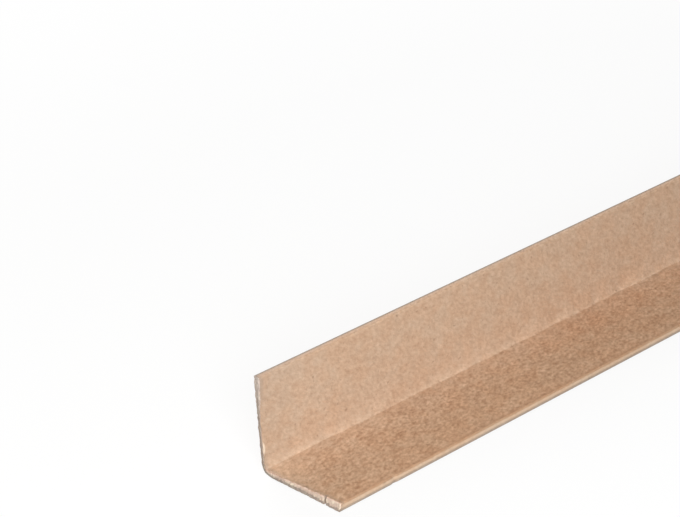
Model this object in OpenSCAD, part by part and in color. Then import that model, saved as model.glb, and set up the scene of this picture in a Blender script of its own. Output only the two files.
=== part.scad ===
// Pallet edge protector: an angle board of glued paper plies in a kraft wrap,
// folded lengthwise into two legs. One leg lies flat and the other stands at the back.
// X runs along the fold, the flat leg reaches towards -Y, and Z = 0 is its underside.

/* [Board] */
// Length of the board along the fold
board_l = 600; // [450:10:1200]
// Width of the flat leg, from the back face to its free edge
flat_leg_w = 50; // [40:1:80]
// Height of the standing leg, from the underside to its free edge
stand_leg_h = 50; // [40:1:80]
// Thickness of the glued plies with their wrap
board_t = 4; // [3:0.5:6]

/* [Fold] */
// Radius on the outside of the fold
fold_out_r = 6; // [5:0.5:10]
// Radius on the inside of the fold
fold_in_r = 3; // [1:0.5:6]

/* [Free edges] */
// Radius of the wrap where it turns over a free edge
edge_r = 0.8; // [0.4:0.1:1.4]

/* [Sheared end] */
// How far the shear has pushed back the top of the flat leg at its free edge
shear_back = 2.6; // [0.5:0.1:3]
// Distance from the inside of the fold to where the pushed-back part starts
shear_start = 10; // [2:0.5:15]
// Distance from the free edge to the middle of the nick
nick_inset = 10.5; // [5:0.5:15]
// Width of the nick
nick_w = 1.2; // [0.5:0.1:2]
// Depth of the nick along the board
nick_d = 2.5; // [1:0.1:5]

/* [Hidden] */
$fn = 96;

// Brown kraft paper
kraft = "#C4A082";

// How far a cut runs past the faces that it goes through
over = 1;

// The sheared end, and the free edge of the flat leg
end_x = -board_l / 2;
free_y = -flat_leg_w / 2;

// Width of the pushed-back part, up to the free edge
shear_w = flat_leg_w - board_t - fold_in_r - shear_start;

// Normal of the sheared plane, which leans back more towards the free edge
shear_n = [1, shear_back / shear_w, -shear_back / board_t];
shear_tilt = acos(shear_n.z / norm(shear_n));
shear_turn = atan2(shear_n.y, shear_n.x);

// A corner with two long sides, rounded where they meet at the origin
module rounded_corner(w, h, r) {
    translate([r, 0])
        square([w - r, h]);
    translate([0, r])
        square([w, h - r]);
    translate([r, r])
        circle(r);
}

// What the turned wrap leaves off one sharp corner of a free edge
module edge_corner() {
    difference() {
        square(edge_r + over);
        circle(edge_r);
    }
}

// Both corners of the free edge of a leg that lies along +X and ends at leg_w
module free_edge(leg_w) {
    translate([leg_w - edge_r, board_t - edge_r])
        edge_corner();
    translate([leg_w - edge_r, edge_r])
        mirror([0, 1])
            edge_corner();
}

// Section of the board, with the outside of the fold at the origin
module board_section() {
    difference() {
        rounded_corner(flat_leg_w, stand_leg_h, fold_out_r);
        translate([board_t, board_t])
            rounded_corner(flat_leg_w, stand_leg_h, fold_in_r);
        free_edge(flat_leg_w);
        mirror([1, -1])
            free_edge(stand_leg_h);
    }
}

// The wedge that the shear has crushed off the end of the flat leg
module sheared_wedge() {
    intersection() {
        translate([end_x, free_y, 0])
            rotate([0, shear_tilt, shear_turn])
                translate([0, 0, -flat_leg_w])
                    cube(2 * flat_leg_w, center = true);
        translate([end_x - over, free_y - over, -over])
            cube([shear_back + 2 * over, shear_w + 2 * over, board_t + 2 * over]);
    }
}

// The nick torn into the sheared end, through the whole thickness of the flat leg
module end_nick() {
    translate([end_x - over, free_y + nick_inset - nick_w / 2, -over])
        cube([nick_d + over, nick_w, board_t + 2 * over]);
}

// The whole board, one folded piece
module angle_board() {
    color(kraft)
        difference() {
            rotate([90, 0, 90])
                linear_extrude(board_l, center = true)
                    translate([flat_leg_w / 2, 0])
                        mirror([1, 0])
                            board_section();
            sheared_wedge();
            end_nick();
        }
}

angle_board();
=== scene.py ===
"""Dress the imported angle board: glued paper plies in a kraft wrap, on a white studio floor.

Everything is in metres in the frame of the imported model. X runs along the fold, the flat leg
reaches towards -Y, the standing leg rises at +Y, and the sheared end is the one at low X.
"""

import logging
import math
import random
from collections.abc import Callable
from dataclasses import dataclass, field
from enum import Enum

import bmesh
import bpy
from mathutils import Matrix, Vector


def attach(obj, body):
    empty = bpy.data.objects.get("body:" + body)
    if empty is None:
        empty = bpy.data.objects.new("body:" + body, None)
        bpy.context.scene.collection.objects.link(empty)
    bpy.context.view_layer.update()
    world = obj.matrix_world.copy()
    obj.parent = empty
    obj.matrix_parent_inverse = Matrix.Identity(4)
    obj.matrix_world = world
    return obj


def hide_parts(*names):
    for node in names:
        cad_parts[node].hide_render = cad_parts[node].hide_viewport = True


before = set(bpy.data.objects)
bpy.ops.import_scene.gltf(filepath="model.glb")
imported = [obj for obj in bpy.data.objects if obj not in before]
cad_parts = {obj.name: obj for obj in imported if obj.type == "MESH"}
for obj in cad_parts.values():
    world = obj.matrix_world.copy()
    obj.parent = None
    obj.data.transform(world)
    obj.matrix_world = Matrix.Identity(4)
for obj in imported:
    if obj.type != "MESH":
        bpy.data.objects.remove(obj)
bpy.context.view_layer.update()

LOG = logging.getLogger("angle_board")

MM = 0.001
# Places nearer to each other than this count as one
TINY = 0.01 * MM
# A face lies square to an axis when its normal has this much of it, and faces its way with this much
SQUARE = 0.99
FACING = 0.5
# What noise swings about
NOISE_MEAN = 0.5
# Places of the Mix node's colours: its two inputs and its output
MIX_A, MIX_B, MIX_OUT = 6, 7, 2

Tree = bpy.types.NodeTree
Socket = bpy.types.NodeSocket
Piece = bpy.types.Object
Vert = bpy.types.MeshVertex
Triple = tuple[float, float, float]


class Pick(Enum):
    """Which part of a mesh is selected, as edit mode names it."""

    EDGES = "EDGE"
    FACES = "FACE"


class Push(Enum):
    """Which way a Displace modifier moves the vertices."""

    ALONG = "X"
    ACROSS = "Y"
    UP = "Z"
    OUT = "NORMAL"


class Lay(Enum):
    """How a mark lies on paper: as a coat over its colour, or soaked into it."""

    OVER = "MIX"
    SOAKED = "MULTIPLY"


class Join(Enum):
    """How several bands make one number."""

    PRODUCT = "MULTIPLY"
    LEAST = "MINIMUM"


class Measure(Enum):
    """What a fade runs along: a place on the board or away from it, or a pattern in its paper."""

    X = "X"
    Y = "Y"
    Z = "Z"
    AWAY = "away"
    FROM_CUT = "from_cut"
    OFF_MIDDLE = "off_middle"
    OFF_FLAKE = "off_flake"
    OFF_STAIN = "off_stain"
    MOTTLE = "mottle"
    FLECKS = "flecks"
    DRIFTS = "drifts"
    PULP = "pulp"
    PLY_WAVE = "ply_wave"
    WRAP_DEPTH = "wrap_depth"
    STUB_DEPTH = "stub_depth"
    SHADE_DEPTH = "soil_depth"


Measures = dict[Measure, Socket]


@dataclass(frozen=True)
class Band:
    """A fade along one measure: least up to its start, and most from where it is full."""

    along: Measure
    start: float
    full: float
    most: float = 1.0
    least: float = 0.0


@dataclass(frozen=True)
class Mark:
    """One mark on paper: its tint, the bands whose product is its share, and how it lies."""

    tint: str
    bands: tuple[Band, ...]
    lay: Lay = Lay.OVER


def linear(code: str) -> tuple[float, float, float, float]:
    """Turn an sRGB hex colour to linear.

    Args:
        code: The colour as #RRGGBB.

    Returns:
        Linear red, green and blue, and full alpha.
    """
    shares = [int(code[i:i + 2], 16) / 255 for i in (1, 3, 5)]
    red, green, blue = [s / 12.92 if s <= 0.04045 else ((s + 0.055) / 1.055) ** 2.4 for s in shares]
    return red, green, blue, 1.0


def add_node(
    tree: Tree,
    kind: str,
    inputs: dict[str | int, object] | None = None,
    out: str | int = 0,
    **settings: object,
) -> Socket | None:
    """Add one node with its settings, and set or link its inputs.

    Args:
        tree: The node tree that gets it.
        kind: Blender's name for the node, without the ShaderNode that it starts with.
        inputs: A number, a colour or another node's output, for each input by name or place.
        out: The output that is wanted, by name or place.
        settings: The node's own options.

    Returns:
        That output, or None from a node that ends the tree.
    """
    node = tree.nodes.new("ShaderNode" + kind)
    for name, value in settings.items():
        setattr(node, name, value)
    for key, value in (inputs or {}).items():
        if isinstance(value, Socket):
            tree.links.new(value, node.inputs[key])
        else:
            node.inputs[key].default_value = value
    return node.outputs[out] if node.outputs else None


def start_material(name: str) -> tuple[bpy.types.Material, Tree]:
    """Start a material with an empty node tree.

    Args:
        name: What the real material is called.

    Returns:
        The material and its node tree.
    """
    material = bpy.data.materials.new(name)
    material.use_nodes = True
    material.node_tree.nodes.clear()
    return material, material.node_tree


def read_places(tree: Tree) -> tuple[Socket, Measures]:
    """Read where on the board a point of its surface lies.

    Args:
        tree: The node tree that asks.

    Returns:
        The place as a vector, and how far it is along each axis.
    """
    place = add_node(tree, "TexCoord", out="Object")
    axes = (Measure.X, Measure.Y, Measure.Z)
    return place, {axis: add_node(tree, "SeparateXYZ", {0: place}, axis.value) for axis in axes}


def join_bands(
    tree: Tree,
    bands: tuple[Band, ...],
    measures: Measures,
    join: Join = Join.PRODUCT,
) -> Socket:
    """Fade along each of several bands, and make one number of them.

    Args:
        tree: The node tree that gets the fades.
        bands: The bands, at least one.
        measures: The output that gives each measure.
        join: What is made of the fades.

    Returns:
        The output with the number.
    """
    joined: Socket | None = None
    for band in bands:
        fade = add_node(
            tree,
            "MapRange",
            {
                "Value": measures[band.along],
                "From Min": band.start,
                "From Max": band.full,
                "To Min": band.least,
                "To Max": band.most,
            },
        )
        if joined is not None:
            fade = add_node(tree, "Math", {0: joined, 1: fade}, operation=join.value)
        joined = fade
    return joined


def lay_marks(tree: Tree, base: str, marks: list[Mark], measures: Measures) -> Socket:
    """Lay marks on a paper, one over the other.

    Args:
        tree: The node tree of the paper.
        base: The paper's own colour, as sRGB hex.
        marks: The marks, the lowest first.
        measures: The output that gives each measure.

    Returns:
        The output with the finished colour.
    """
    colour: object = linear(base)
    for mark in marks:
        share = join_bands(tree, mark.bands, measures)
        tints = {0: share, MIX_A: colour, MIX_B: linear(mark.tint)}
        colour = add_node(tree, "Mix", tints, MIX_OUT, data_type="RGBA", blend_type=mark.lay.value)
    return colour


def see_background(tree: Tree) -> Socket:
    """Tell rays that see the background from those that light the object.

    Args:
        tree: The node tree that asks.

    Returns:
        An output that is 1 for camera, glossy and transmission rays.
    """
    seen = add_node(tree, "LightPath", out="Is Camera Ray")
    for ray in ("Is Glossy Ray", "Is Transmission Ray"):
        other = add_node(tree, "LightPath", out=ray)
        seen = add_node(tree, "Math", {0: seen, 1: other}, operation="MAXIMUM")
    return seen


def pick(kind: Pick, test: Callable[[object], bool]) -> None:
    """Select the edges or faces that pass a test, and nothing else, on the object in edit mode.

    Args:
        kind: Edges or faces.
        test: Takes one of them and says whether it is wanted.
    """
    bpy.ops.mesh.select_mode(type=kind.value)
    bpy.ops.mesh.select_all(action="DESELECT")
    mesh = bpy.context.edit_object.data
    shape = bmesh.from_edit_mesh(mesh)
    for item in shape.edges if kind is Pick.EDGES else shape.faces:
        if test(item):
            item.select_set(True)
    shape.select_flush_mode()
    bmesh.update_edit_mesh(mesh, loop_triangles=False, destructive=False)


def ramp(value: float, low: float, high: float) -> float:
    """Ease smoothly from 0 at low to 1 at high."""
    share = min(max((value - low) / (high - low), 0.0), 1.0)
    return share * share * (3.0 - 2.0 * share)


@dataclass(frozen=True)
class Grain:
    """One layer of mottle in paper: how wide its blotches are and how far they swing the tone."""

    blotch_mm: float
    swing: float
    detail: float


@dataclass(frozen=True)
class KraftWrap:
    """Machine-made brown kraft paper, glued on as the board's wrap.

    It is matte, with a tone that is mottled by its recycled pulp, small dark flecks, redder drifts
    and a faint cockle. A flake is torn bare at the sheared end, and the back of the top is darker
    grey. Painted highlights lie along the free edge, partly bare fibres, on the pleats' crests,
    partly wear, along the foot of the standing leg and on the flat leg by the fold near the cuts.
    Painted shade lies along the free edge, along the cuts and up the standing leg near them, with
    painted warm light towards the free edge.
    """

    dark: str = "#A07B5E"
    pale: str = "#DBBB9F"
    fleck: str = "#7A5438"
    # Pale tint of bare fibres and worn crests, and of painted highlights
    bare_and_highlight: str = "#EDD8C0"
    # Painted warm light towards the free edge
    painted_warm_light: str = "#FEF8F1"
    ruddy: str = "#FFFAF6"
    stain: str = "#FDF5EF"
    # Painted shade along the cuts and on the standing leg near them
    painted_shade: str = "#8A827B"
    # Darker grey for the back of the top
    rim_grey: str = "#6F6353"
    # Painted shade low on the free edge
    edge_foot_shade: str = "#8C908E"
    # Mottle, drawn out along the sheet, which was wrapped askew, and stronger on the flat leg
    grains: tuple[Grain, ...] = (
        Grain(blotch_mm=42.0, swing=0.07, detail=1.0),
        Grain(blotch_mm=3.4, swing=0.28, detail=2.0),
        Grain(blotch_mm=1.45, swing=0.73, detail=2.0),
    )
    sheet_way: Triple = (0.78, 0.5, -0.5)
    drawn_out: float = 2.0
    flat_gain: float = 2.25
    edge_gain: float = 0.8
    fleck_mm: float = 2.6
    drift_mm: float = 9.0
    # Height of the pale line along the free edge, a painted highlight that is partly bare fibres, and
    # the stain on the flat leg
    line_z: float = 2.4 * MM
    stain_place: Triple = (-85 * MM, 11 * MM, 0.0)
    # The tooth of kraft paper is about 0.1 mm wide, and is drawn as a coarser cockle so that it shows
    cockle_mm: float = 2.0
    cockle_high: float = 0.4 * MM
    roughness: float = 0.62
    ior: float = 1.5
    gloss: float = 0.4

    def make(self, board: "AngleBoard") -> bpy.types.Material:
        """Build the finish.

        Args:
            board: The board that has the paper on it.

        Returns:
            The material.
        """
        material, tree = start_material("kraft_wrap_paper")
        place, measures = read_places(tree)
        sheet = self.draw_out(tree, place)
        self.measure_spots(tree, board, place, measures)
        self.measure_pulp(tree, board, place, sheet, measures)
        pattern = {"Scale": 1 / (self.cockle_mm * MM), "Detail": 3.0, "Roughness": 0.6}
        cockle = add_node(tree, "TexNoise", {"Vector": sheet, **pattern})
        relief = {"Height": cockle, "Strength": 1.0, "Distance": self.cockle_high}
        shader = add_node(
            tree,
            "BsdfPrincipled",
            {
                "Base Color": lay_marks(tree, self.dark, self.list_marks(board), measures),
                "Roughness": self.roughness,
                "IOR": self.ior,
                "Specular IOR Level": self.gloss,
                "Normal": add_node(tree, "Bump", relief),
            },
        )
        add_node(tree, "OutputMaterial", {"Surface": shader})
        return material

    def draw_out(self, tree: Tree, place: Socket) -> Socket:
        """Draw patterns out along the sheet, as its fibres are.

        Args:
            tree: The node tree of the paper.
            place: The place on the board.

        Returns:
            The output with the place that the drawn-out patterns read.
        """
        way = Vector(self.sheet_way).normalized()
        along = add_node(tree, "VectorMath", {0: place, 1: way}, "Value", operation="DOT_PRODUCT")
        moved = {0: along, 1: way * (1 / self.drawn_out - 1), 2: place}
        return add_node(tree, "VectorMath", moved, operation="MULTIPLY_ADD")

    def measure_spots(self, tree: Tree, board: "AngleBoard", place: Socket, measures: Measures) -> None:
        """Measure how far a place is from the cuts, and from the spots that marks spread round.

        Args:
            tree: The node tree of the paper.
            board: The board that has the paper on it.
            place: The place on the board.
            measures: Gets the new measures.
        """
        cut = Measure.FROM_CUT
        measures[cut] = add_node(tree, "Attribute", out="Fac", attribute_name=cut.value)
        # The flake is twice as tall as it is wide, and the stain six times as long
        for measure, centre, squash in (
            (Measure.OFF_MIDDLE, (0.0, 0.0, board.stand_h / 2), (0.0, 0.0, 1.0)),
            (Measure.OFF_FLAKE, board.flake, (1.0, 1.0, 1 / 2)),
            (Measure.OFF_STAIN, self.stain_place, (1 / 6, 1.0, 0.0)),
        ):
            squashed = add_node(tree, "VectorMath", {0: place, 1: squash}, operation="MULTIPLY")
            ends = {0: squashed, 1: Vector(centre) * Vector(squash)}
            measures[measure] = add_node(tree, "VectorMath", ends, "Value", operation="DISTANCE")

    def measure_pulp(
        self, tree: Tree, board: "AngleBoard", place: Socket, sheet: Socket, measures: Measures
    ) -> None:
        """Measure the patterns of the pulp: flecks, drifts and the mottle of its fibres.

        Args:
            tree: The node tree of the paper.
            board: The board that has the paper on it.
            place: The place on the board.
            sheet: The place, drawn out along the sheet.
            measures: Gets the new measures.
        """
        for measure, width_mm in ((Measure.FLECKS, self.fleck_mm), (Measure.DRIFTS, self.drift_mm)):
            pattern = {"Vector": place, "Scale": 1 / (width_mm * MM), "Detail": 1.0}
            measures[measure] = add_node(tree, "TexNoise", pattern)
        swung: object = -NOISE_MEAN * sum(grain.swing for grain in self.grains)
        for grain in self.grains:
            pattern = {"Vector": sheet, "Scale": 1 / (grain.blotch_mm * MM), "Detail": grain.detail}
            added = {0: add_node(tree, "TexNoise", pattern), 1: grain.swing, 2: swung}
            swung = add_node(tree, "Math", added, operation="MULTIPLY_ADD")
        # Stronger on the top of the flat leg, as far as its free edge
        top, edge, gain = board.thick, board.free_y, self.flat_gain
        gains = (
            Band(Measure.Z, top + 2 * MM, top + 0.2 * MM, most=gain, least=1.0),
            Band(Measure.Y, edge + 0.3 * MM, edge + 1.2 * MM, most=gain, least=self.edge_gain),
        )
        tone = {0: swung, 1: join_bands(tree, gains, measures, Join.LEAST), 2: NOISE_MEAN}
        measures[Measure.MOTTLE] = add_node(tree, "Math", tone, operation="MULTIPLY_ADD")

    def list_marks(self, board: "AngleBoard") -> list[Mark]:
        """List what shows on the paper, over its dark pulp.

        Args:
            board: The board that has the paper on it.

        Returns:
            The marks, the lowest first.
        """
        line, foot, top = self.line_z, board.thick, board.stand_h
        crease = board.thick + board.fold_bulge
        off_crease = crease + 0.6 * MM
        above_foot = 2 * board.thick
        by_edge = Band(Measure.Y, board.free_y + 2.6 * MM, board.free_y + 0.9 * MM)
        return [
            # Paler pulp in the dark, and sparse flecks of bark and print
            Mark(self.pale, (Band(Measure.MOTTLE, 0.0, 1.0),)),
            Mark(self.fleck, (Band(Measure.FLECKS, 0.68, 0.78, most=0.4),)),
            # Along the free edge painted shade above and below, and between them a pale line: painted
            # highlight, partly bare fibres of the wrap's lapped edge
            Mark(self.dark, (by_edge, Band(Measure.Z, line + 0.7 * MM, line + 1.1 * MM, most=0.5))),
            Mark(self.edge_foot_shade, (by_edge, Band(Measure.Z, line - 0.5 * MM, line - 1.1 * MM, most=0.48))),
            Mark(
                self.bare_and_highlight,
                (
                    by_edge,
                    Band(Measure.Z, line + 0.9 * MM, line + 0.4 * MM),
                    Band(Measure.Z, line - 0.9 * MM, line - 0.4 * MM, most=0.32),
                ),
            ),
            # Painted shade on the wrap along the cuts, darker on the flat leg and the top of the
            # standing leg
            Mark(
                self.painted_shade,
                (
                    Band(Measure.FROM_CUT, 2.4 * MM, 0.8 * MM),
                    Band(Measure.OFF_MIDDLE, 11 * MM, 19 * MM, most=0.29, least=0.05),
                ),
            ),
            # Painted shade on the standing leg near the cuts, deeper up the leg
            Mark(
                self.painted_shade,
                (
                    Band(Measure.FROM_CUT, 45 * MM, 4 * MM),
                    Band(Measure.Z, above_foot, above_foot + TINY),
                    Band(Measure.Z, above_foot, board.stand_h, most=0.13, least=0.02),
                ),
            ),
            # Painted light on the flat leg next to the fold near the cuts, softening the crease's
            # shading there
            Mark(
                self.bare_and_highlight,
                (
                    Band(Measure.FROM_CUT, 14 * MM, 8 * MM, most=0.15),
                    Band(Measure.Y, -4 * MM, 4 * MM, least=0.2),
                    Band(Measure.Z, off_crease, crease),
                ),
            ),
            # One torn flake, bare at the sheared end
            Mark(self.bare_and_highlight, (Band(Measure.OFF_FLAKE, 2.0 * MM, 1.2 * MM, most=0.9),)),
            # Drifts of redder pulp, painted warm light towards the free edge, and a redder stain
            Mark(self.ruddy, (Band(Measure.DRIFTS, 0.38, 0.62),), Lay.SOAKED),
            Mark(self.painted_warm_light, (Band(Measure.Y, board.inner_y, board.free_y + 4 * MM),), Lay.SOAKED),
            Mark(self.stain, (Band(Measure.OFF_STAIN, 12 * MM, 3 * MM),), Lay.SOAKED),
            # Painted highlight along the foot of the standing leg, more so towards the sheared end
            Mark(
                self.bare_and_highlight,
                (
                    Band(Measure.X, board.end_x / 3, board.end_x, most=0.055, least=0.01),
                    Band(Measure.Z, foot + 7 * MM, foot + 3 * MM),
                    Band(Measure.Z, crease, off_crease),
                ),
            ),
            # Crests of the pleats, pale: painted highlight, partly wear
            Mark(
                self.bare_and_highlight,
                (Band(Measure.Y, board.back_y + 0.1 * MM, board.back_y + board.pleat_high, most=0.5),),
            ),
            # Darker grey along the back of the top, where the wrap turns over it
            Mark(
                self.rim_grey,
                (
                    Band(Measure.Z, top - 0.8 * MM, top - 0.3 * MM),
                    Band(Measure.Y, board.inner_y + 2 * MM, board.inner_y + 3 * MM, most=0.8),
                ),
            ),
        ]


@dataclass(frozen=True)
class CutPlies:
    """Guillotined ends of the glued grey-brown plies.

    The cut is dull and fuzzy: pale torn fibres of the wrap outline a core of plies, some paler and
    all dustier up the standing leg, with thin darker streaks of glue between them. Stubs of the
    brown wrap stand along the inside. Painted shade darkens the outer plies, most at the bottom,
    and the nick.
    """

    core: str = "#C6AB98"
    cream: str = "#E4D0B7"
    glue: str = "#A8968A"
    wrap: str = "#D3B6A3"
    ashen: str = "#C5B6AC"
    kraft: str = "#B8937A"
    # Painted shade on the outer plies
    painted_shade: str = "#7B7067"
    # Painted shade in the nick
    nick_shade_tint: str = "#947E6E"
    ply_mm: float = 0.5
    wrap_mm: float = 0.55
    patch_mm: float = 3.2
    # Torn fibres, and how far they make the wrap's line, the stubs and the painted shade waver
    fuzz_mm: float = 1.3
    fuzz_high: float = 0.4 * MM
    wrap_waver: float = 0.5 * MM
    stub_waver: float = 3.0 * MM
    shade_waver: float = 1.5 * MM
    # How deep the painted shade on the outer plies reaches at the free edge and at the fold
    shade_thin: float = 1.4 * MM
    shade_deep: float = 2.6 * MM
    roughness: float = 0.85
    ior: float = 1.5

    def make(self, board: "AngleBoard") -> bpy.types.Material:
        """Build the finish.

        Args:
            board: The board whose section gives the depth below its faces.

        Returns:
            The material.
        """
        material, tree = start_material("cut_paper_plies")
        place, measures = read_places(tree)
        pattern = {"Vector": place, "Scale": 1 / (self.fuzz_mm * MM), "Detail": 3.0}
        fuzz = add_node(tree, "TexNoise", pattern)
        self.measure_plies(tree, board, place, fuzz, measures)
        relief = {"Height": fuzz, "Strength": 0.5, "Distance": self.fuzz_high}
        shader = add_node(
            tree,
            "BsdfPrincipled",
            {
                "Base Color": lay_marks(tree, self.core, self.list_marks(board), measures),
                "Roughness": self.roughness,
                "IOR": self.ior,
                "Normal": add_node(tree, "Bump", relief),
            },
        )
        add_node(tree, "OutputMaterial", {"Surface": shader})
        return material

    def measure_faces(self, tree: Tree, board: "AngleBoard", place: Socket) -> list[Socket]:
        """Measure how deep a place lies below the two faces that run round the fold.

        Args:
            tree: The node tree of the cut.
            board: The board whose section is cut.
            place: The place on the board.

        Returns:
            The outputs with the depth below the outside and below the inside.
        """
        depths = []
        inner_r = board.fold_in * board.fold_press
        for centre, radius, sign in (
            (board.fold_out, board.fold_out, 1.0),
            (board.thick + inner_r, inner_r, -1.0),
        ):
            turn = {"Location": (0.0, centre - board.back_y, centre), "Scale": (0.0, 1.0, -1.0)}
            turned = add_node(tree, "Mapping", {"Vector": place, **turn})
            limits = {0: turned, 1: (0.0, 0.0, 0.0)}
            outward = add_node(tree, "VectorMath", limits, operation="MAXIMUM")
            reach = add_node(tree, "VectorMath", {0: outward}, "Value", operation="LENGTH")
            depth = {0: reach, 1: -sign, 2: sign * radius}
            depths.append(add_node(tree, "Math", depth, operation="MULTIPLY_ADD"))
        return depths

    def measure_plies(
        self, tree: Tree, board: "AngleBoard", place: Socket, fuzz: Socket, measures: Measures
    ) -> None:
        """Measure the depth below the board's faces, wavering with torn fibres, and the plies in it.

        Args:
            tree: The node tree of the cut.
            board: The board whose section is cut.
            place: The place on the board.
            fuzz: The pattern of torn fibres.
            measures: Gets the new measures.
        """
        outer, inner = self.measure_faces(tree, board, place)
        below_free = {0: measures[Measure.Y], 1: board.free_y}
        below_top = {0: board.stand_h, 1: measures[Measure.Z]}
        edges = [add_node(tree, "Math", ends, operation="SUBTRACT") for ends in (below_free, below_top)]
        nearest = outer
        for other in (inner, *edges):
            nearest = add_node(tree, "Math", {0: nearest, 1: other}, operation="MINIMUM")
        for measure, depth, waver in (
            (Measure.WRAP_DEPTH, nearest, self.wrap_waver),
            (Measure.STUB_DEPTH, inner, -self.stub_waver),
            (Measure.SHADE_DEPTH, outer, self.shade_waver),
        ):
            wavered = {0: fuzz, 1: waver, 2: depth}
            measures[measure] = add_node(tree, "Math", wavered, operation="MULTIPLY_ADD")
        edge, middle = board.free_y + 5 * MM, board.free_y + board.flat_w / 2
        # The painted shade on the outer plies reaches deeper away from the free edge
        shade_spread = (Band(Measure.Y, edge, middle, most=self.shade_deep, least=self.shade_thin),)
        past = {0: measures[Measure.SHADE_DEPTH], 1: join_bands(tree, shade_spread, measures)}
        measures[Measure.SHADE_DEPTH] = add_node(tree, "Math", past, operation="SUBTRACT")
        turns = {0: measures[Measure.WRAP_DEPTH], 1: 2 * math.pi / (self.ply_mm * MM)}
        angle = add_node(tree, "Math", turns, operation="MULTIPLY")
        measures[Measure.PLY_WAVE] = add_node(tree, "Math", {0: angle}, operation="SINE")
        pattern = {"Vector": place, "Scale": 1 / (self.patch_mm * MM), "Detail": 2.0}
        measures[Measure.PULP] = add_node(tree, "TexNoise", pattern)

    def list_marks(self, board: "AngleBoard") -> list[Mark]:
        """List what shows on the cut, over its core.

        Args:
            board: The board whose section is cut.

        Returns:
            The marks, the lowest first.
        """
        wrap, foot = self.wrap_mm * MM, board.thick
        nick_y, nick_side = board.free_y + board.nick_inset, board.nick_shaded * board.nick_w / 2
        return [
            # Plies of paler pulp here and there, and glue lines between the plies
            Mark(self.cream, (Band(Measure.PULP, 0.45, 0.6),)),
            Mark(self.glue, (Band(Measure.PLY_WAVE, 0.2, 1.0, most=0.6),)),
            # Torn fibres of the wrap, round the whole cut
            Mark(self.wrap, (Band(Measure.WRAP_DEPTH, wrap + 0.45 * MM, wrap + 0.15 * MM),)),
            # Dust, more of it up the standing leg
            Mark(self.ashen, (Band(Measure.Z, foot, board.stand_h, most=0.65),)),
            # Stubs of the wrap's brown sheet, left standing along the inside
            Mark(
                self.kraft,
                (
                    Band(Measure.STUB_DEPTH, -1.2 * MM, -1.5 * MM),
                    Band(Measure.Z, 3 * foot, foot, most=0.8, least=0.2),
                ),
            ),
            # Painted shade on the outer plies, most at the bottom, and less of it at the far end
            Mark(
                self.painted_shade,
                (
                    Band(Measure.SHADE_DEPTH, 0.8 * MM, 0.2 * MM),
                    Band(Measure.Z, 2 * foot, foot, most=0.75, least=0.4),
                    Band(Measure.X, -board.end_x / 2, board.end_x / 2, least=0.25),
                ),
            ),
            # Painted shade inside the nick
            Mark(
                self.nick_shade_tint,
                (
                    Band(Measure.Y, nick_y - nick_side - TINY, nick_y - nick_side),
                    Band(Measure.Y, nick_y + nick_side + TINY, nick_y + nick_side),
                    Band(Measure.Z, foot + 2 * TINY, foot + TINY),
                    Band(Measure.X, TINY, 0.0),
                ),
            ),
        ]


@dataclass(frozen=True)
class FloorPaint:
    """Matt white paint on the studio floor, which is bare white away from the board's shadow."""

    lighting: str = "#B4B4B4"
    looking: str = "#FAFAFA"
    shadow_share: float = 0.15
    shadow_near: float = 0.35
    shadow_far: float = 0.7

    def make(self) -> bpy.types.Material:
        """Build the finish.

        Returns:
            The material.
        """
        material, tree = start_material("matt_white_paint")
        place = add_node(tree, "TexCoord", out="Object")
        away = add_node(tree, "VectorMath", {0: place}, "Value", operation="LENGTH")
        fade = Band(Measure.AWAY, self.shadow_near, self.shadow_far, least=1.0 - self.shadow_share)
        bare = join_bands(tree, (fade,), {Measure.AWAY: away})
        seen = see_background(tree)
        share = add_node(tree, "Math", {0: bare, 1: seen}, operation="MULTIPLY")
        tints = {0: seen, MIX_A: linear(self.lighting), MIX_B: linear(self.looking)}
        shade = add_node(tree, "Mix", tints, MIX_OUT, data_type="RGBA")
        paint = add_node(tree, "BsdfDiffuse", {"Color": shade})
        white = add_node(tree, "Emission", {"Color": linear("#FFFFFF"), "Strength": 1.0})
        both = add_node(tree, "MixShader", {0: share, 1: paint, 2: white})
        add_node(tree, "OutputMaterial", {"Surface": both})
        return material


@dataclass(frozen=True)
class Lean:
    """How far the shear has pushed back one place along a leg, outside and inside."""

    along: float
    outside: float
    inside: float


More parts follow.
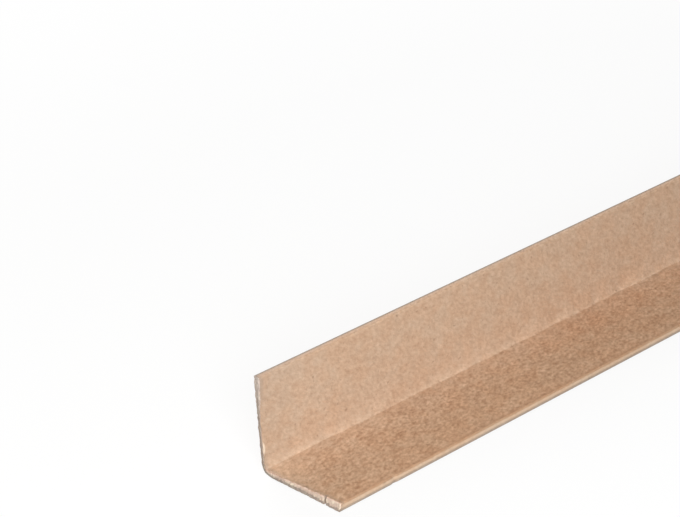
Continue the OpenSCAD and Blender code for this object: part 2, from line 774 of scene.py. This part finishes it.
@dataclass
class AngleBoard:
    """The one piece: plies glued and wrapped, folded lengthwise into two legs, cut to length."""

    # Outer sizes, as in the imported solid, and the rest of the section
    length: float = 600 * MM
    flat_w: float = 50 * MM
    stand_h: float = 50 * MM
    thick: float = 4 * MM
    edge_r: float = 0.8 * MM
    fold_out: float = 7.5 * MM
    fold_in: float = 5 * MM
    fold_press: float = 0.24
    # Steps of the mesh round the fold and the edges, through the plies, and along the board
    fold_steps: int = 10
    edge_steps: int = 5
    ply_rows: int = 8
    length_steps: tuple[int, int] = (20, 25)
    # Rows of the mesh along the legs, as distances from the free edges
    edge_row: float = 0.8 * MM
    edge_rows: int = 6
    rim_row: float = 0.25 * MM
    rim_rows: int = 17
    wide_rows: tuple[float, ...] = tuple(at * MM for at in (8, 13, 17, 21, 25, 29, 33, 37, 40))
    fold_rows: tuple[float, ...] = (35 * MM, 38.5 * MM, 41.5 * MM, 43 * MM)
    below_rim_rows: tuple[float, ...] = (6 * MM, 9.2 * MM, 10 * MM, 11 * MM)
    # Bunched plies inside the fold, and the waver of its line
    fold_bulge: float = 1.15 * MM
    bulge_reach: float = 14 * MM
    waver: float = 1.6 * MM
    waver_l: float = 16 * MM
    waver_near: float = 3 * MM
    waver_far: float = 9 * MM
    # Sheared end: distances along each leg run from the free edge, and from the underside
    flat_lean: tuple[Lean, ...] = (
        Lean(0 * MM, 1.5 * MM, 2.7 * MM),
        Lean(9.1 * MM, 1.4 * MM, 2.4 * MM),
        Lean(10.3 * MM, 1.3 * MM, 2.1 * MM),
        Lean(25 * MM, 0.7 * MM, 1.2 * MM),
        Lean(33 * MM, 0.5 * MM, 0.5 * MM),
        Lean(46 * MM, 0.5 * MM, -0.4 * MM),
    )
    stand_lean: tuple[Lean, ...] = (
        Lean(4 * MM, 0.65 * MM, -0.4 * MM),
        Lean(9 * MM, 0.8 * MM, -0.8 * MM),
        Lean(14 * MM, 0.8 * MM, -0.9 * MM),
        Lean(28 * MM, 0.65 * MM, -1.1 * MM),
        Lean(35 * MM, 0.6 * MM, -0.8 * MM),
        Lean(40 * MM, 0.5 * MM, -0.1 * MM),
        Lean(45 * MM, 0.45 * MM, 0.3 * MM),
        Lean(50 * MM, 0.7 * MM, 0.6 * MM),
    )
    lean_most: float = 4 * MM
    shear_fade: float = 11 * MM
    crush: float = 1.0 * MM
    crush_full: float = 4 * MM
    flake: Triple = (-301.4 * MM, 21 * MM, 15.3 * MM)
    # Nick in the sheared end: shares of its half width are flat, torn back and given painted shade
    nick_inset: float = 9.7 * MM
    nick_w: float = 1.15 * MM
    nick_floor: float = 0.7
    nick_torn: float = 0.8
    nick_shaded: float = 1.1
    nick_d: float = 0.8 * MM
    nick_fade: float = 4 * MM
    # Frayed cuts: the fibres, what the far cut has of them, and the finer mesh that they need
    fray: float = 0.9 * MM
    far_fray: float = 0.35
    fibre: float = 1.4 * MM
    fray_start: float = 0.2 * MM
    fray_end: float = 0.6 * MM
    fray_reach: float = 3 * MM
    fray_steps: tuple[float, float] = (2.4 * MM, 1.3 * MM)
    edge_pucker: float = 0.6 * MM
    # Dent in the flat leg's free edge
    dent_x: float = -266 * MM
    dent_w: float = 1.9 * MM
    dent_d: float = 0.5 * MM
    dent_fade: float = 2.5 * MM
    # Pleats of the wrap below the top: where they start, their form and their spacing
    pleat_first: float = 9 * MM
    pleat_l: float = 15 * MM
    pleat_drop: float = 3 * MM
    pleat_lip: float = 0.3 * MM
    pleat_w: float = 1.1 * MM
    pleat_high: float = 0.35 * MM
    pleat_zone: float = 6 * MM
    pleat_gap: tuple[float, float] = (15 * MM, 28 * MM)
    # Shares of that length and height, drawn at random, and where along a pleat its crest is full
    pleat_ls: tuple[float, float] = (0.6, 1.0)
    pleat_highs: tuple[float, float] = (0.5, 1.0)
    pleat_crest: tuple[float, float] = (0.2, 0.6)
    seed: int = 7
    # Faces that meet at less than this angle shade as one
    smooth_deg: float = 35.0
    # The object, once it is laid
    piece: Piece | None = field(default=None, init=False)

    @property
    def end_x(self) -> float:
        """Where the sheared end is."""
        return -self.length / 2

    @property
    def back_y(self) -> float:
        """The outside of the standing leg."""
        return self.flat_w / 2

    @property
    def inner_y(self) -> float:
        """The inside of the standing leg."""
        return self.back_y - self.thick

    @property
    def free_y(self) -> float:
        """The free edge of the flat leg."""
        return -self.flat_w / 2

    def build(self) -> Piece:
        """Model the board and dress it.

        Returns:
            The finished piece.
        """
        self.raise_legs()
        self.round_long_edges()
        self.press_fold()
        self.cut_rows()
        self.cut_lengths()
        self.refine_cuts()
        self.close_ends()
        self.dress()
        bpy.ops.object.mode_set(mode="OBJECT")
        self.mark_cuts()
        self.bunch_fold()
        self.shear_end()
        self.fray_cuts()
        self.dent_edge()
        self.pleat_rim()
        bpy.ops.object.shade_smooth_by_angle(angle=math.radians(self.smooth_deg))
        return self.piece

    def raise_legs(self) -> None:
        """Lay a slab for the flat leg, and in edit mode extrude the standing leg from its back."""
        bpy.ops.object.select_all(action="DESELECT")
        bpy.ops.mesh.primitive_cube_add(
            size=1.0,
            location=(0.0, 0.0, self.thick / 2),
            scale=(self.length, self.flat_w, self.thick),
        )
        self.piece = bpy.context.object
        self.piece.name = "kraft_angle_board"
        self.piece.data.name = self.piece.name
        bpy.ops.object.transform_apply(location=True, rotation=True, scale=True)
        bpy.ops.object.mode_set(mode="EDIT")
        pick(Pick.FACES, lambda face: face.normal.z > SQUARE)
        bpy.ops.mesh.bisect(plane_co=(0.0, self.inner_y, 0.0), plane_no=(0.0, 1.0, 0.0))
        pick(
            Pick.FACES,
            lambda face: face.normal.z > SQUARE and face.calc_center_median().y > self.inner_y,
        )
        bpy.ops.mesh.extrude_region_move(
            TRANSFORM_OT_translate={"value": (0.0, 0.0, self.stand_h - self.thick)}
        )
        bpy.ops.mesh.select_all(action="SELECT")
        bpy.ops.mesh.dissolve_limited(angle_limit=math.radians(1))

    def round_long_edges(self) -> None:
        """Round the fold outside and inside, and the wrap over both free edges."""
        free = (
            (self.free_y, 0.0),
            (self.free_y, self.thick),
            (self.back_y, self.stand_h),
            (self.inner_y, self.stand_h),
        )
        rounds = (
            (((self.back_y, 0.0),), self.fold_out, self.fold_steps),
            (((self.inner_y, self.thick),), self.fold_in, self.fold_steps),
            (free, self.edge_r, self.edge_steps),
        )
        for lines, radius, steps in rounds:
            pick(
                Pick.EDGES,
                lambda edge: any(
                    all(math.dist(vert.co.yz, line) < TINY for vert in edge.verts) for line in lines
                ),
            )
            bpy.ops.mesh.bevel(offset=radius, segments=steps, profile=0.5, affect="EDGES")

    def press_fold(self) -> None:
        """Press the inside of the fold into the flat leg, which leaves a crisp line along it."""
        low_y, high_z = self.inner_y - self.fold_in - TINY, self.thick + self.fold_in + TINY
        pick(
            Pick.EDGES,
            lambda edge: all(
                low_y < vert.co.y < self.inner_y + TINY and self.thick - TINY < vert.co.z < high_z
                for vert in edge.verts
            ),
        )
        bpy.ops.transform.resize(
            value=(1.0, self.fold_press, 1.0), center_override=(0.0, self.inner_y, 0.0)
        )

    def cut_rows(self) -> None:
        """Cut rows along both legs, close together near the free edges."""
        edge = [self.edge_r + step * self.edge_row for step in range(1, self.edge_rows + 1)]
        rim = [self.edge_r + step * self.rim_row for step in range(1, self.rim_rows + 1)]
        nick_sides = (-1.0, -self.nick_floor, 0.0, self.nick_floor, 1.0)
        nick = [self.nick_inset + side * self.nick_w / 2 for side in nick_sides]
        for inset in (*edge, *nick, *self.wide_rows, *self.fold_rows):
            pick(Pick.FACES, lambda face: abs(face.normal.z) > SQUARE)
            bpy.ops.mesh.bisect(plane_co=(0.0, self.free_y + inset, 0.0), plane_no=(0.0, 1.0, 0.0))
        for inset in (*rim, *self.below_rim_rows, *self.wide_rows):
            pick(Pick.FACES, lambda face: abs(face.normal.y) > SQUARE)
            bpy.ops.mesh.bisect(plane_co=(0.0, 0.0, self.stand_h - inset), plane_no=(0.0, 0.0, 1.0))

    def cut_lengths(self) -> None:
        """Subdivide every line along the board, in two passes."""
        for parts in self.length_steps:
            pick(Pick.EDGES, lambda edge: abs(edge.verts[0].co.x - edge.verts[1].co.x) > TINY)
            bpy.ops.mesh.subdivide(number_cuts=parts - 1)

    def refine_cuts(self) -> None:
        """Open both ends, and shorten the steps round the section near them for the fraying."""
        pick(Pick.FACES, lambda face: abs(face.normal.x) > SQUARE)
        bpy.ops.mesh.delete(type="ONLY_FACE")
        near = -self.end_x - self.fray_reach
        for longest in self.fray_steps:
            pick(
                Pick.EDGES,
                lambda edge: edge.calc_length() > longest
                and abs(edge.verts[0].co.x - edge.verts[1].co.x) < TINY
                and all(abs(vert.co.x) > near for vert in edge.verts),
            )
            bpy.ops.mesh.subdivide(number_cuts=1)

    def close_ends(self) -> None:
        """Close each end by rows of ply, bridged from outside to inside, and pucker its two edges."""
        low_y = self.free_y + self.edge_r - TINY
        high_z = self.stand_h - self.edge_r + TINY
        for end in (self.end_x, -self.end_x):
            pick(
                Pick.EDGES,
                lambda edge: all(
                    abs(vert.co.x - end) < TINY and vert.co.y > low_y and vert.co.z < high_z
                    for vert in edge.verts
                ),
            )
            bpy.ops.mesh.bridge_edge_loops(number_cuts=self.ply_rows - 1, interpolation="LINEAR")
        pick(Pick.EDGES, lambda edge: edge.is_boundary)
        bpy.ops.mesh.fill_holes(sides=0)
        pick(Pick.FACES, lambda face: len(face.verts) > 4 and abs(face.normal.x) > SQUARE)
        bpy.ops.mesh.poke(offset=-self.edge_pucker)
        bpy.ops.mesh.select_all(action="SELECT")
        bpy.ops.mesh.normals_make_consistent(inside=False)

    def dress(self) -> None:
        """Give the wrap and the cut ends their papers."""
        for finish in (KraftWrap(), CutPlies()):
            self.piece.data.materials.append(finish.make(self))
        pick(Pick.FACES, lambda face: abs(face.normal.x) > FACING)
        self.piece.active_material_index = 1
        bpy.ops.object.material_slot_assign()

    def move(
        self,
        name: str,
        reach: float,
        way: Push,
        share: Callable[[Vert], float],
        texture: bpy.types.Texture | None = None,
    ) -> None:
        """Move part of the board by a Displace modifier, and apply it.

        Args:
            name: What the move stands for.
            reach: How far a vertex with a full share goes.
            way: Which way it goes.
            share: Gives each vertex its share, from 0 to 1.
            texture: What the move follows, both ways, in place of an even push.
        """
        group = self.piece.vertex_groups.new(name=name)
        for vert in self.piece.data.vertices:
            weight = min(share(vert), 1.0)
            if weight > 0.0:
                group.add([vert.index], weight, "REPLACE")
        modifier = self.piece.modifiers.new(name, "DISPLACE")
        modifier.vertex_group = group.name
        modifier.direction = way.value
        modifier.strength = reach
        modifier.mid_level = NOISE_MEAN if texture else 0.0
        modifier.texture = texture
        modifier.texture_coords = "LOCAL"
        bpy.ops.object.modifier_apply(modifier=modifier.name)
        self.piece.vertex_groups.remove(self.piece.vertex_groups[name])

    def mark_cuts(self) -> None:
        """Note on each vertex how far it lies from the nearest cut, while both cuts are square."""
        half = self.length / 2
        marks = self.piece.data.attributes.new(Measure.FROM_CUT.value, "FLOAT", "POINT")
        marks.data.foreach_set("value", [half - abs(vert.co.x) for vert in self.piece.data.vertices])

    def bunch_fold(self) -> None:
        """Raise the inside of the fold, where the folded plies bunch up, and let its line waver."""
        creases = bpy.data.textures.new("pressed_crease", "CLOUDS")
        creases.noise_scale = self.waver_l
        creases.noise_depth = 1
        self.move("waver", self.waver, Push.ACROSS, self.wavering, creases)
        self.move("bulge", self.fold_bulge, Push.UP, self.bunched)

    def wavering(self, vert: Vert) -> float:
        """Give the share of the fold's waver, which is on its inside alone.

        Args:
            vert: A vertex of the board.

        Returns:
            The share, from 0 to 1.
        """
        if vert.co.z < self.thick - TINY or vert.co.y > self.inner_y + TINY:
            return 0.0
        reach = math.dist(vert.co.yz, (self.inner_y, self.thick))
        return 1.0 - ramp(reach, self.waver_near, self.waver_far)

    def bunched(self, vert: Vert) -> float:
        """Give the share of the fold's rise, which fades along both legs and through the board.

        Args:
            vert: A vertex of the board.

        Returns:
            The share, from 0 to 1.
        """
        along = 1.0 - ramp(self.inner_y - vert.co.y, 0.0, self.bulge_reach)
        up = 1.0 - ramp(vert.co.z, self.thick + self.fold_in, self.thick + self.bulge_reach)
        through = min(vert.co.z, self.back_y - vert.co.y) / self.thick
        return along * up * min(max(through, 0.0), 1.0)

    def shear_end(self) -> None:
        """Tear the nick into the sheared end, crush its underside, and lean it as the blade left it."""
        self.move("nick", self.nick_d, Push.ALONG, self.nicked)
        self.move("crush", self.crush, Push.UP, self.crushed)
        for name, most in (("back", self.lean_most), ("proud", -self.lean_most)):
            self.move(
                name, most, Push.ALONG, lambda vert: self.lean(vert.co) / most * self.near_shear(vert)
            )

    def near_shear(self, vert: Vert) -> float:
        """Give the share of a push at the sheared end that reaches a vertex."""
        return 1.0 - ramp(vert.co.x, self.end_x, self.end_x + self.shear_fade)

    def nicked(self, vert: Vert) -> float:
        """Give the share of the nick, which is flat between its steep sides.

        Args:
            vert: A vertex of the board.

        Returns:
            The share, from 0 to 1.
        """
        aside = abs(vert.co.y - self.free_y - self.nick_inset)
        if vert.co.z > self.thick + TINY or aside > self.nick_torn * self.nick_w / 2:
            return 0.0
        return 1.0 - ramp(vert.co.x, self.end_x, self.end_x + self.nick_fade)

    def crushed(self, vert: Vert) -> float:
        """Give the share of the underside's rise, which grows towards the fold."""
        below = max(1.0 - vert.co.z / self.thick, 0.0) * self.near_shear(vert)
        return below * ramp(vert.co.y, self.free_y, self.inner_y - self.crush_full)

    def lean(self, spot: Vector) -> float:
        """Tell how far the shear has pushed back the sheared end at one place of the section.

        Args:
            spot: A point of the board.

        Returns:
            The distance along the board, negative where the plies stand proud.
        """
        on_stand = spot.z - self.thick > self.inner_y - spot.y
        rows = self.stand_lean if on_stand else self.flat_lean
        along = spot.z if on_stand else spot.y - self.free_y
        depth = (self.back_y - spot.y if on_stand else spot.z) / self.thick
        depth = min(max(depth, 0.0), 1.0)
        outside, inside = rows[-1].outside, rows[-1].inside
        for row, after in zip(rows, rows[1:]):
            if along <= after.along:
                share = max((along - row.along) / (after.along - row.along), 0.0)
                outside = row.outside + (after.outside - row.outside) * share
                inside = row.inside + (after.inside - row.inside) * share
                break
        return outside + (inside - outside) * depth

    def fray_cuts(self) -> None:
        """Fray the plies of both cuts, less at the cleaner far one."""
        fibres = bpy.data.textures.new("torn_fibres", "CLOUDS")
        fibres.noise_scale = self.fibre
        fibres.noise_depth = 2
        from_cut = [mark.value for mark in self.piece.data.attributes[Measure.FROM_CUT.value].data]

        def frayed(vert: Vert) -> float:
            """Give the share of the fraying, which is on the cuts alone.

            Args:
                vert: A vertex of the board.

            Returns:
                The share, from 0 to 1.
            """
            share = 1.0 if vert.co.x < 0.0 else self.far_fray
            return share * (1.0 - ramp(from_cut[vert.index], self.fray_start, self.fray_end))

        self.move("fray", self.fray, Push.ALONG, frayed, fibres)

    def dent_edge(self) -> None:
        """Knock a dent into the flat leg's free edge."""

        def dented(vert: Vert) -> float:
            """Give the share of the dent, which fades into the leg."""
            along = 1.0 - ramp(abs(vert.co.x - self.dent_x), 0.0, self.dent_w)
            return along * (1.0 - ramp(vert.co.y - self.free_y, 0.0, self.dent_fade))

        self.move("dent", self.dent_d, Push.ACROSS, dented)

    def pleat_rim(self) -> None:
        """Raise the pleats that the wrap has outside, where it turns over the standing leg."""
        chance = random.Random(self.seed)
        pleats = []
        full, falling = self.pleat_crest
        start = self.end_x + self.pleat_first
        while start < -self.end_x - 2 * self.pleat_l:
            length = self.pleat_l * chance.uniform(*self.pleat_ls)
            pleats.append((start, length, chance.uniform(*self.pleat_highs)))
            start += chance.uniform(*self.pleat_gap)

        def pleated(vert: Vert) -> float:
            """Give the share of the nearest pleat: steep towards the rim, sloping the other way.

            Args:
                vert: A vertex of the board.

            Returns:
                The share, from 0 to 1.
            """
            below = self.stand_h - vert.co.z
            if vert.co.y < self.back_y - TINY or below > self.pleat_zone:
                return 0.0
            for start, length, height in pleats:
                run = (vert.co.x - start) / length
                if 0.0 <= run <= 1.0:
                    off = below - self.edge_r - run * self.pleat_drop
                    side = ramp(off, -self.pleat_lip, 0.0) * (1.0 - ramp(off, 0.0, self.pleat_w))
                    return height * side * ramp(run, 0.0, full) * (1.0 - ramp(run, falling, 1.0))
            return 0.0

        self.move("pleats", self.pleat_high, Push.OUT, pleated)


@dataclass(frozen=True)
class Lamp:
    """One square softbox, aimed at the board."""

    name: str
    place: Triple
    size: float
    power: float
    tint: str


@dataclass
class Studio:
    """White floor, soft light and the camera at the photograph's viewing angle."""

    # Camera, fitted to the board's edges
    azimuth: float = 41.033
    elevation: float = 24.972
    roll: float = -3.932
    place: Triple = (-0.89929, -0.72661, 0.55038)
    lens: float = 131.75
    sensor_w: float = 36.0
    nearest: float = 10 * MM
    # Light
    lamps: tuple[Lamp, ...] = (
        Lamp("key_softbox", (-0.992, -0.99, 0.559), 0.6, 25.1, "#EFF8FF"),
        Lamp("top_softbox", (-0.9, 0.0, 0.9), 0.6, 3.7, "#FFEAD2"),
        Lamp("back_softbox", (0.5, 1.5, 0.9), 1.2, 22.0, "#FFFFFF"),
    )
    aim: Triple = (-0.2, 0.0, 0.02)
    dome: float = 0.1
    # Floor, just clear of the board's underside
    floor_size: float = 30.0
    floor_drop: float = 0.2 * MM

    def build(self) -> None:
        """Lay the floor, hang the lights and set up the camera."""
        self.lay_floor()
        self.light_dome()
        self.hang_lamps()
        self.set_camera()

    def lay_floor(self) -> None:
        """Lay a white floor that keeps a soft shadow near the board."""
        bpy.ops.object.select_all(action="DESELECT")
        bpy.ops.mesh.primitive_plane_add(
            size=self.floor_size, location=(0.0, 0.0, -self.floor_drop)
        )
        floor = bpy.context.object
        floor.name = "studio_floor"
        floor.data.materials.append(FloorPaint().make())

    def light_dome(self) -> None:
        """Surround the object with even light that looks white to the camera."""
        world = bpy.data.worlds.new("studio_dome")
        world.use_nodes = True
        tree = world.node_tree
        tree.nodes.clear()
        light, white = (
            add_node(tree, "Background", {"Color": linear("#FFFFFF"), "Strength": strength})
            for strength in (self.dome, 1.0)
        )
        both = add_node(tree, "MixShader", {0: see_background(tree), 1: light, 2: white})
        add_node(tree, "OutputWorld", {"Surface": both})
        bpy.context.scene.world = world

    def hang_lamps(self) -> None:
        """Hang the softboxes: a key beside the camera, one above, and one behind the board."""
        for lamp in self.lamps:
            bpy.ops.object.light_add(type="AREA", location=lamp.place)
            light = bpy.context.object
            light.name = lamp.name
            light.data.shape = "SQUARE"
            light.data.size = lamp.size
            light.data.energy = lamp.power
            light.data.color = linear(lamp.tint)[:3]
            light.visible_camera = False
            way = Vector(self.aim) - Vector(lamp.place)
            light.rotation_euler = way.to_track_quat("-Z", "Y").to_euler()

    def set_camera(self) -> None:
        """Put the camera where the photograph was taken from."""
        bpy.ops.object.camera_add()
        camera = bpy.context.object
        camera.name = "photo_camera"
        camera.data.lens = self.lens
        camera.data.sensor_width = self.sensor_w
        camera.data.clip_start = self.nearest
        # A camera looks straight down until it is raised to the horizon
        turns = ((-self.azimuth, "Z"), (90.0 - self.elevation, "X"), (self.roll, "Z"))
        pose = Matrix.Translation(self.place)
        for angle, axis in turns:
            pose = pose @ Matrix.Rotation(math.radians(angle), 4, axis)
        camera.matrix_world = pose
        bpy.context.scene.camera = camera


def main() -> None:
    """Build the board and the studio in order, and report each piece."""
    logging.basicConfig(level=logging.INFO, format="%(name)s: %(message)s")
    bpy.context.scene.view_settings.view_transform = "Standard"
    board = AngleBoard().build()
    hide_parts("angle_board")
    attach(board, "root")
    LOG.info("%s: %d faces", board.name, len(board.data.polygons))
    studio = Studio()
    studio.build()
    LOG.info("studio: floor, dome, %d softboxes and camera", len(studio.lamps))


if __name__ == "__main__":
    main()
